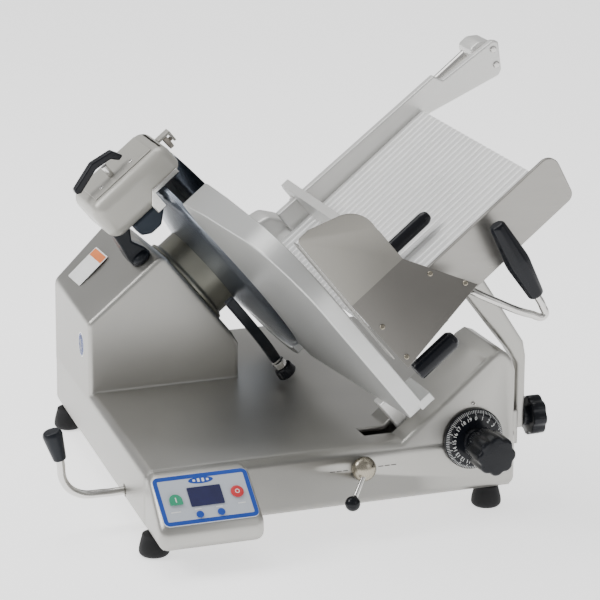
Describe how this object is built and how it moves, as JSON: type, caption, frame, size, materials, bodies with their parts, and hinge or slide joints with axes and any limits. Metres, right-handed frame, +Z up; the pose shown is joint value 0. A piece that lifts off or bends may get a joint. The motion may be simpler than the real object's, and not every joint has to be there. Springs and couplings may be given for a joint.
{
  "type": "deli meat slicer",
  "caption": "Gravity-feed deli slicer with a leaning round knife, gauge plate and index dial, tilting food chute with pusher on a sliding carriage, sharpener and control panel.",
  "frame": {"origin": "on the floor under the middle of the whole object's box, with the chute at its front stop", "axes": "+X to the operator's right, +Y away from the operator, +Z up"},
  "size_m": [0.7134, 0.6914, 0.5607],
  "materials": {
    "cast_aluminium": "satin, fine bead-blasted casting",
    "bright_aluminium": "anodised, finely brushed",
    "ground_steel": "ground and polished steel bar",
    "knife_steel": "mirror-ground tool steel",
    "sheet_steel": "brushed stainless sheet",
    "dark_cover": "dark anodised",
    "motor_black": "black enamel",
    "black_plastic": "moulded black phenolic",
    "foot_rubber": "black rubber",
    "panel_film": "printed membrane",
    "display_glass": "dark window",
    "green_key": "green",
    "red_key": "red",
    "blue_key": "blue",
    "abrasive": "bonded abrasive"
  },
  "bodies": {
    "base": {"base_casting": "cast_aluminium", "bottom_cover": "sheet_steel", "foot_front_left": "foot_rubber", "foot_front_right": "foot_rubber", "foot_back_left": "foot_rubber", "foot_back_right": "foot_rubber", "control_panel": "panel_film", "display_window": "display_glass", "knife_motor": "motor_black", "knife_housing": "cast_aluminium", "front_bearing": "ground_steel", "rear_bearing": "ground_steel", "back_dish": "dark_cover", "ring_guard": "cast_aluminium", "slice_deflector": "black_plastic", "gauge_slide_rod": "ground_steel", "carriage_rod": "ground_steel", "sharpener_mount": "black_plastic", "sharpener_housing": "bright_aluminium", "sharpener_cover": "bright_aluminium", "cord_gland": "black_plastic", "drive_belt": "foot_rubber"},
    "knife_group": {"knife": "knife_steel", "knife_shaft": "ground_steel", "knife_cap": "knife_steel", "knife_pulley": "ground_steel"},
    "motor_drive": {"motor_pulley": "ground_steel"},
    "gauge": {"gauge_plate": "bright_aluminium", "gauge_bracket": "cast_aluminium"},
    "index": {"index_shaft": "ground_steel", "dial_disc": "black_plastic", "index_knob": "black_plastic"},
    "carriage": {"carriage_truck": "cast_aluminium"},
    "chute": {"chute_arm": "cast_aluminium", "chute_floor": "bright_aluminium", "near_wall": "sheet_steel", "far_wall": "bright_aluminium", "hand_guard": "sheet_steel", "guard_knob": "black_plastic", "chute_handle": "ground_steel", "chute_grip": "black_plastic", "pusher_rod": "ground_steel", "pusher_lower_bracket": "bright_aluminium", "pusher_end_bracket": "bright_aluminium"},
    "lock_knob": {"arm_knob": "black_plastic"},
    "slider": {"pusher_sleeve": "bright_aluminium"},
    "pusher": {"pusher_arm": "bright_aluminium", "pusher_handle": "black_plastic"},
    "grinder": {"grinding_stone": "abrasive"},
    "truer": {"truing_stone": "abrasive"},
    "sharpener_handle": {"sharpener_lever": "black_plastic"},
    "selector": {"selector_lever": "ground_steel", "selector_ball": "black_plastic"},
    "lift": {"lift_lever": "ground_steel", "lift_knob": "black_plastic"},
    "deflector_screw": {"deflector_knob": "black_plastic"},
    "start": {"start_button": "green_key"},
    "stop": {"stop_button": "red_key"},
    "slower": {"down_button": "blue_key"},
    "faster": {"up_button": "blue_key"}
  },
  "joints": [
    {"name": "knife_spin", "type": "hinge", "parent": "base", "child": "knife_group", "pos_m": [0.01154, 0.16742, 0.29328], "axis": [0.7771, 0, 0.6293], "continuous": true},
    {"name": "motor_spin", "type": "hinge", "parent": "base", "child": "motor_drive", "pos_m": [-0.05839, 0.16742, 0.15559], "axis": [0.7771, 0, 0.6293], "continuous": true},
    {"name": "index_turn", "type": "hinge", "parent": "base", "child": "index", "pos_m": [0.19082, -0.23258, 0.105], "axis": [0, 1, 0], "range_deg": [-45, 300]},
    {"name": "gauge_slide", "type": "slide", "parent": "base", "child": "gauge", "axis": [0.7771, 0, 0.6293], "range_m": [-0.025, 0.004]},
    {"name": "carriage_slide", "type": "slide", "parent": "base", "child": "carriage", "axis": [0, 1, 0], "range_m": [0, 0.28]},
    {"name": "chute_tilt", "type": "hinge", "parent": "carriage", "child": "chute", "pos_m": [0.26982, -0.18258, 0.096], "axis": [0, 1, 0], "range_deg": [0, 22]},
    {"name": "lock_knob_turn", "type": "hinge", "parent": "chute", "child": "lock_knob", "pos_m": [0.28282, -0.18258, 0.108], "axis": [1, 0, 0], "range_deg": [0, 270]},
    {"name": "pusher_slide", "type": "slide", "parent": "chute", "child": "slider", "axis": [0.7771, 0, 0.6293], "range_m": [-0.01, 0.23]},
    {"name": "pusher_swing", "type": "hinge", "parent": "slider", "child": "pusher", "pos_m": [0.07656, 0.10842, 0.33693], "axis": [-0.7771, 0, -0.6293], "range_deg": [0, 100]},
    {"name": "grinding_stone_spin", "type": "hinge", "parent": "base", "child": "grinder", "pos_m": [-0.11702, 0.13942, 0.41822], "axis": [0.7771, 0, 0.6293], "continuous": true},
    {"name": "truing_stone_spin", "type": "hinge", "parent": "base", "child": "truer", "pos_m": [-0.08784, 0.17142, 0.4322], "axis": [0.7771, 0, 0.6293], "continuous": true},
    {"name": "sharpener_lever_turn", "type": "hinge", "parent": "base", "child": "sharpener_handle", "pos_m": [-0.17742, 0.14342, 0.39633], "axis": [-0.6293, 0, 0.7771], "range_deg": [0, 90]},
    {"name": "selector_turn", "type": "hinge", "parent": "base", "child": "selector", "pos_m": [0.03782, -0.23258, 0.081], "axis": [0, -1, 0], "range_deg": [0, 34]},
    {"name": "lift_lever_turn", "type": "hinge", "parent": "base", "child": "lift", "pos_m": [-0.24818, -0.11458, 0.046], "axis": [1, 0, 0], "range_deg": [0, 80]},
    {"name": "deflector_knob_turn", "type": "hinge", "parent": "base", "child": "deflector_screw", "pos_m": [0.03586, 0.05421, 0.12977], "axis": [-0.6293, 0, 0.7771], "range_deg": [0, 270]},
    {"name": "start_button_press", "type": "slide", "parent": "base", "child": "start", "axis": [0, 0.6306, -0.7761], "range_m": [0, 0.001], "stiffness_N_per_m": 1500},
    {"name": "stop_button_press", "type": "slide", "parent": "base", "child": "stop", "axis": [0, 0.6306, -0.7761], "range_m": [0, 0.001], "stiffness_N_per_m": 1500},
    {"name": "down_button_press", "type": "slide", "parent": "base", "child": "slower", "axis": [0, 0.6306, -0.7761], "range_m": [0, 0.001], "stiffness_N_per_m": 1500},
    {"name": "up_button_press", "type": "slide", "parent": "base", "child": "faster", "axis": [0, 0.6306, -0.7761], "range_m": [0, 0.001], "stiffness_N_per_m": 1500}
  ],
  "couplings": [
    {"joint": "motor_spin", "follows": "knife_spin", "ratio": 1.7},
    {"joint": "gauge_slide", "follows": "index_turn", "m_per_rad": -0.0047}
  ]
}
